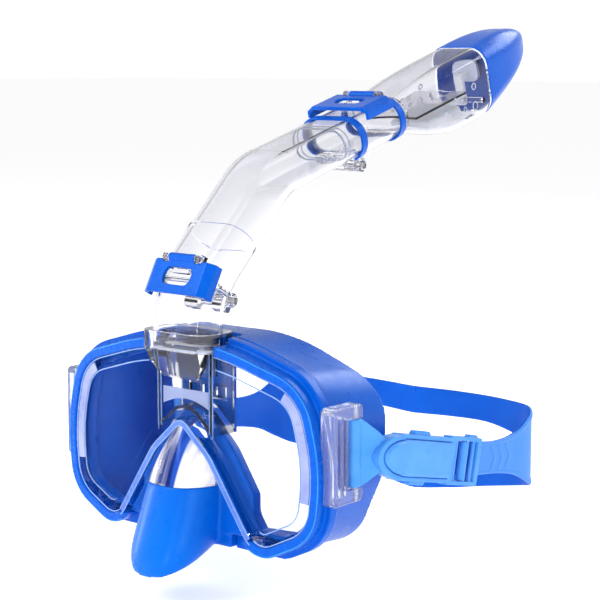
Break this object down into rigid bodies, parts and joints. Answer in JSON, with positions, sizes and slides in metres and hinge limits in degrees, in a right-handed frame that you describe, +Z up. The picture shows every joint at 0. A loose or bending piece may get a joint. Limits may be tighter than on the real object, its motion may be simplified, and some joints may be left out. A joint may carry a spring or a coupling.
{
  "type": "snorkel mask",
  "caption": "Diving mask with a covered nose pocket, a clear folding dry-top snorkel plugged into the top of the lens frame, latched joints, side buckles and a split rubber head strap.",
  "frame": {"origin": "middle of the opening that seals on the face, on the symmetry plane", "axes": "+Z up, the lens looks along -Y, +X is the wearer's left; the YZ plane is the symmetry plane"},
  "size_m": [0.186, 0.3018, 0.2507],
  "materials": {
    "silicone_blue": "satin silicone",
    "plastic_blue": "gloss",
    "buckle_blue": "satin",
    "strap_blue": "satin silicone",
    "clear_plastic": "clear gloss",
    "clear_lens": "clear polished",
    "frosted_white": "frosted",
    "soft_seal": "satin",
    "pin_steel": "bright drawn"
  },
  "bodies": {
    "mask": {"lens": "clear_lens", "retaining_frame": "plastic_blue", "silicone_skirt": "silicone_blue", "nose_window": "clear_lens", "air_duct": "clear_plastic", "duct_back_wall": "silicone_blue", "inhale_valve_seat": "clear_plastic", "snorkel_port": "clear_plastic", "port_gasket": "soft_seal", "elbow": "clear_plastic", "lower_gasket": "soft_seal", "lower_hinge_pin": "clear_plastic", "strap_lug_left": "clear_plastic", "strap_lug_right": "clear_plastic", "lug_pin_left": "pin_steel", "lug_pin_right": "pin_steel", "head_strap": "strap_blue"},
    "inhale_flap": {"inhale_flap": "silicone_blue"},
    "middle": {"mid_tube": "clear_plastic", "lower_collar_ring": "plastic_blue", "upper_gasket": "soft_seal", "upper_hinge_pin": "clear_plastic", "lower_latch_pin": "clear_plastic"},
    "lower_latch": {"lower_latch": "plastic_blue"},
    "dry_top": {"dry_top_tube": "clear_plastic", "upper_collar_ring": "plastic_blue", "float_chamber": "clear_plastic", "dry_top_cap": "plastic_blue", "float_pin": "clear_plastic", "upper_latch_pin": "clear_plastic"},
    "upper_latch": {"upper_latch": "plastic_blue"},
    "float": {"float": "frosted_white", "float_lever": "frosted_white", "valve_seal": "soft_seal"},
    "buckle_left": {"strap_tab_left": "buckle_blue", "buckle_body_left": "buckle_blue", "buckle_cover_left": "buckle_blue", "buckle_keeper_left": "buckle_blue"},
    "release_button_upper_left": {"release_button_upper_left": "buckle_blue"},
    "release_button_lower_left": {"release_button_lower_left": "buckle_blue"},
    "strap_roller_left": {"strap_roller_left": "buckle_blue"},
    "buckle_right": {"strap_tab_right": "buckle_blue", "buckle_body_right": "buckle_blue", "buckle_cover_right": "buckle_blue", "buckle_keeper_right": "buckle_blue"},
    "release_button_upper_right": {"release_button_upper_right": "buckle_blue"},
    "release_button_lower_right": {"release_button_lower_right": "buckle_blue"},
    "strap_roller_right": {"strap_roller_right": "buckle_blue"}
  },
  "joints": [
    {"name": "lower_fold", "type": "hinge", "parent": "mask", "child": "middle", "pos_m": [0, -0.03593, 0.06272], "axis": [-1, 0, 0], "range_deg": [0, 40]},
    {"name": "upper_fold", "type": "hinge", "parent": "middle", "child": "dry_top", "pos_m": [0, 0.06068, 0.12089], "axis": [-1, 0, 0], "range_deg": [0, 75]},
    {"name": "lower_latch_hinge", "type": "hinge", "parent": "middle", "child": "lower_latch", "pos_m": [0, -0.0559, 0.08364], "axis": [-1, 0, 0], "range_deg": [0, 75]},
    {"name": "upper_latch_hinge", "type": "hinge", "parent": "dry_top", "child": "upper_latch", "pos_m": [0, 0.07663, 0.15523], "axis": [-1, 0, 0], "range_deg": [0, 75]},
    {"name": "float_pivot", "type": "hinge", "parent": "dry_top", "child": "float", "pos_m": [0, 0.15911, 0.15134], "axis": [-1, 0, 0], "range_deg": [0, 6]},
    {"name": "inhale_flap_hinge", "type": "hinge", "parent": "mask", "child": "inhale_flap", "pos_m": [0, -0.0382, 0.0236], "axis": [1, 0, 0], "range_deg": [0, 35]},
    {"name": "buckle_swivel_left", "type": "hinge", "parent": "mask", "child": "buckle_left", "pos_m": [0.082, -0.034, 0.001], "axis": [0, 0, 1], "range_deg": [-8, 8], "deforming": ["head_strap"]},
    {"name": "button_press_upper_left", "type": "slide", "parent": "buckle_left", "child": "release_button_upper_left", "axis": [0, -0.213, -0.977], "range_m": [0, 0.0015], "stiffness_N_per_m": 300},
    {"name": "button_press_lower_left", "type": "slide", "parent": "buckle_left", "child": "release_button_lower_left", "axis": [0, 0.213, 0.977], "range_m": [0, 0.0015], "stiffness_N_per_m": 300},
    {"name": "roller_spin_left", "type": "hinge", "parent": "buckle_left", "child": "strap_roller_left", "pos_m": [0.0882, 0.04123, -0.0154], "axis": [0, 0.213, 0.977], "continuous": true},
    {"name": "buckle_swivel_right", "type": "hinge", "parent": "mask", "child": "buckle_right", "pos_m": [-0.082, -0.034, 0.001], "axis": [0, 0, 1], "range_deg": [-8, 8], "deforming": ["head_strap"]},
    {"name": "button_press_upper_right", "type": "slide", "parent": "buckle_right", "child": "release_button_upper_right", "axis": [0, -0.213, -0.977], "range_m": [0, 0.0015], "stiffness_N_per_m": 300},
    {"name": "button_press_lower_right", "type": "slide", "parent": "buckle_right", "child": "release_button_lower_right", "axis": [0, 0.213, 0.977], "range_m": [0, 0.0015], "stiffness_N_per_m": 300},
    {"name": "roller_spin_right", "type": "hinge", "parent": "buckle_right", "child": "strap_roller_right", "pos_m": [-0.0882, 0.04123, -0.0154], "axis": [0, 0.213, 0.977], "continuous": true}
  ]
}
